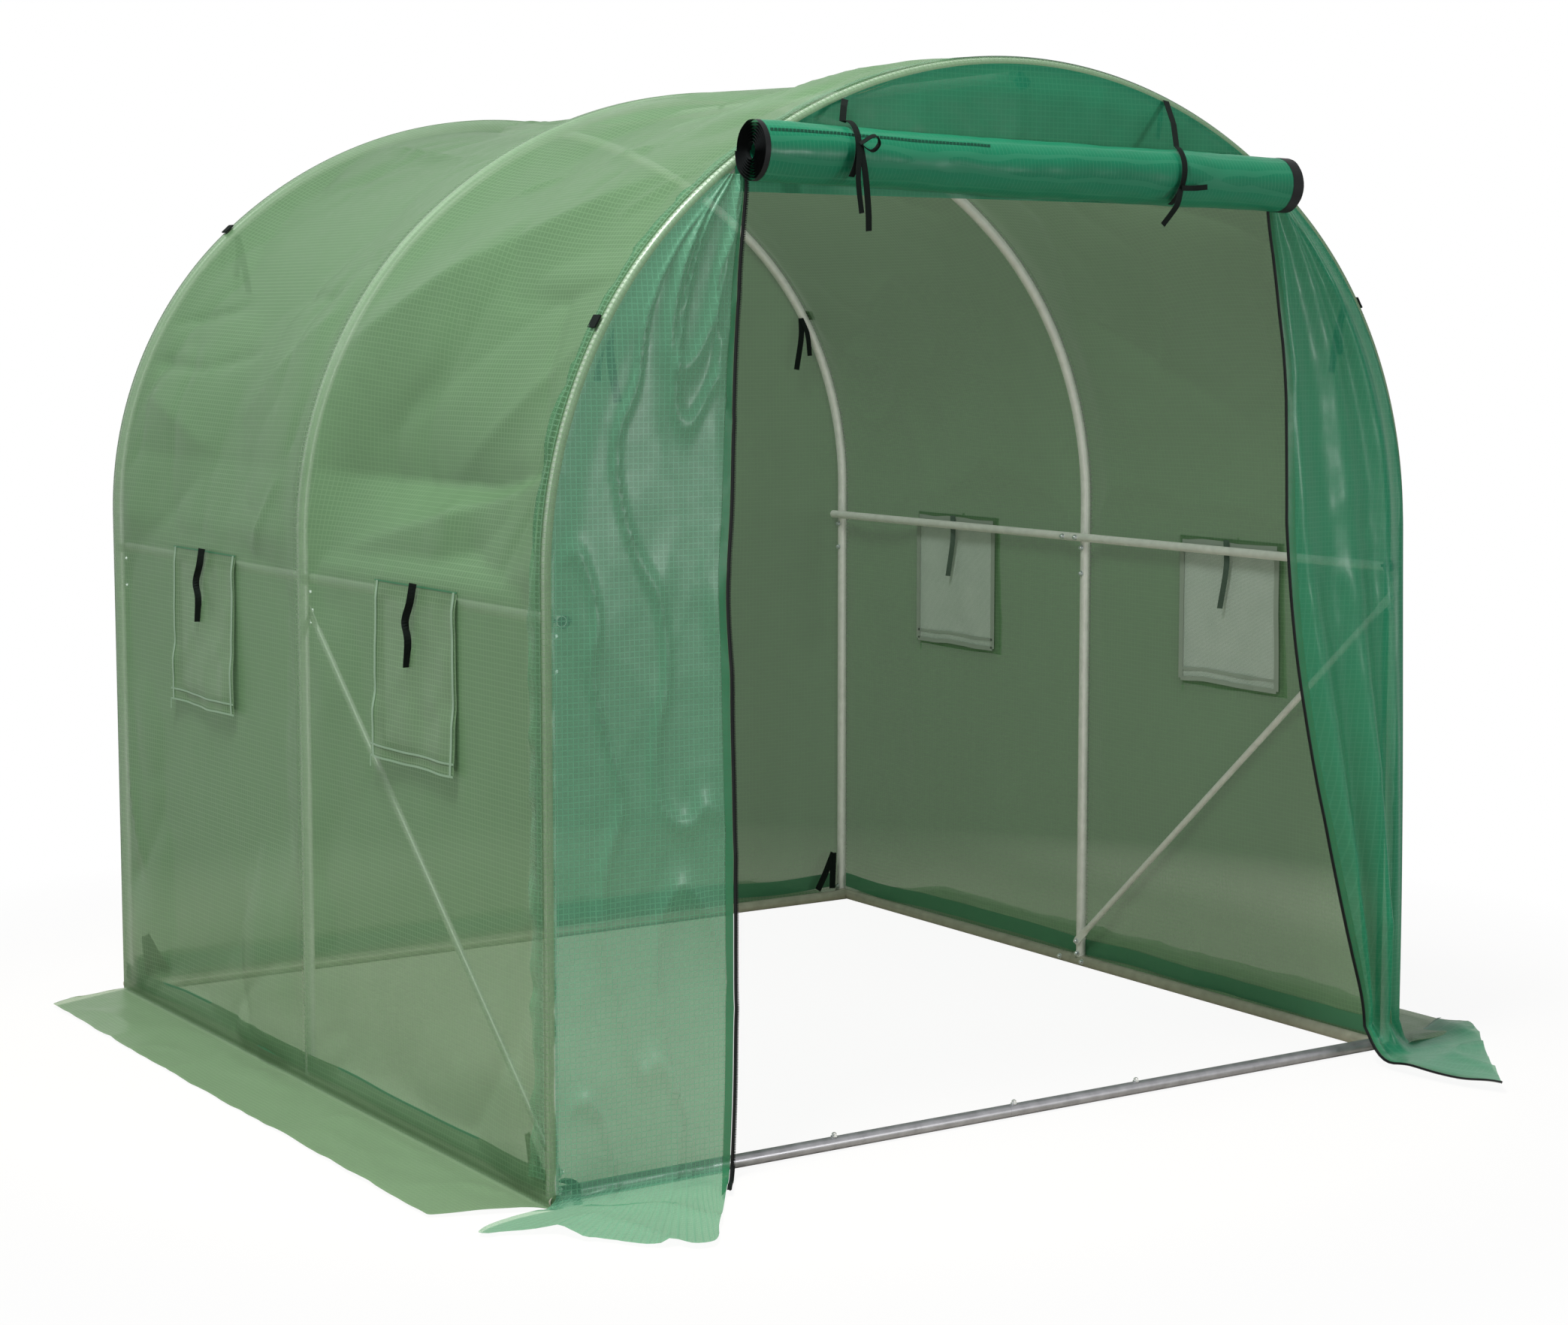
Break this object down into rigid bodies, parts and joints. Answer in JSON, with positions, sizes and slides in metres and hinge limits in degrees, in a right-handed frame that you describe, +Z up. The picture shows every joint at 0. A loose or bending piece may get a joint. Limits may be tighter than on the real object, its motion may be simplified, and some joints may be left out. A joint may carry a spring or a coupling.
{
  "type": "polytunnel greenhouse",
  "caption": "Walk-in polytunnel: round hoops of steel tube under a green woven sheet, with a rolled-up front door, side windows and ground skirts.",
  "frame": {"origin": "ground level at the middle of the plan", "axes": "+Z up, -Y towards the doorway, +X to the right as seen from outside the doorway"},
  "size_m": [2.4696, 2.6206, 1.9881],
  "materials": {
    "galvanised_tube": "galvanised",
    "cover_sheet": "woven translucent sheet",
    "front_sheet": "woven translucent sheet",
    "screen_mesh": "fine insect mesh"
  },
  "bodies": {
    "root": {"front_left_leg": "galvanised_tube", "front_left_arch": "galvanised_tube", "front_right_leg": "galvanised_tube", "front_right_arch": "galvanised_tube", "middle_left_leg": "galvanised_tube", "middle_left_arch": "galvanised_tube", "middle_right_leg": "galvanised_tube", "middle_right_arch": "galvanised_tube", "rear_left_leg": "galvanised_tube", "rear_left_arch": "galvanised_tube", "rear_right_leg": "galvanised_tube", "rear_right_arch": "galvanised_tube", "left_rail_front": "galvanised_tube", "left_rail_rear": "galvanised_tube", "left_brace": "galvanised_tube", "left_purlin_front": "galvanised_tube", "left_purlin_rear": "galvanised_tube", "right_rail_front": "galvanised_tube", "right_rail_rear": "galvanised_tube", "right_brace": "galvanised_tube", "right_purlin_front": "galvanised_tube", "right_purlin_rear": "galvanised_tube", "ridge_purlin_front": "galvanised_tube", "ridge_purlin_rear": "galvanised_tube", "front_rail_left": "galvanised_tube", "front_rail_right": "galvanised_tube", "rear_rail_left": "galvanised_tube", "rear_rail_right": "galvanised_tube", "left_wall_sheet": "cover_sheet", "right_wall_sheet": "cover_sheet", "roof_left_sheet": "cover_sheet", "roof_crown_sheet": "cover_sheet", "roof_right_sheet": "cover_sheet", "rear_end_sheet": "cover_sheet", "left_skirt": "cover_sheet", "right_skirt": "cover_sheet", "rear_skirt": "cover_sheet", "front_gable_sheet": "front_sheet", "front_left_panel": "front_sheet", "front_right_panel": "front_sheet", "door_roll": "front_sheet", "front_skirts": "front_sheet", "window_screens": "screen_mesh", "window_flaps": "cover_sheet"}
  },
  "joints": []
}
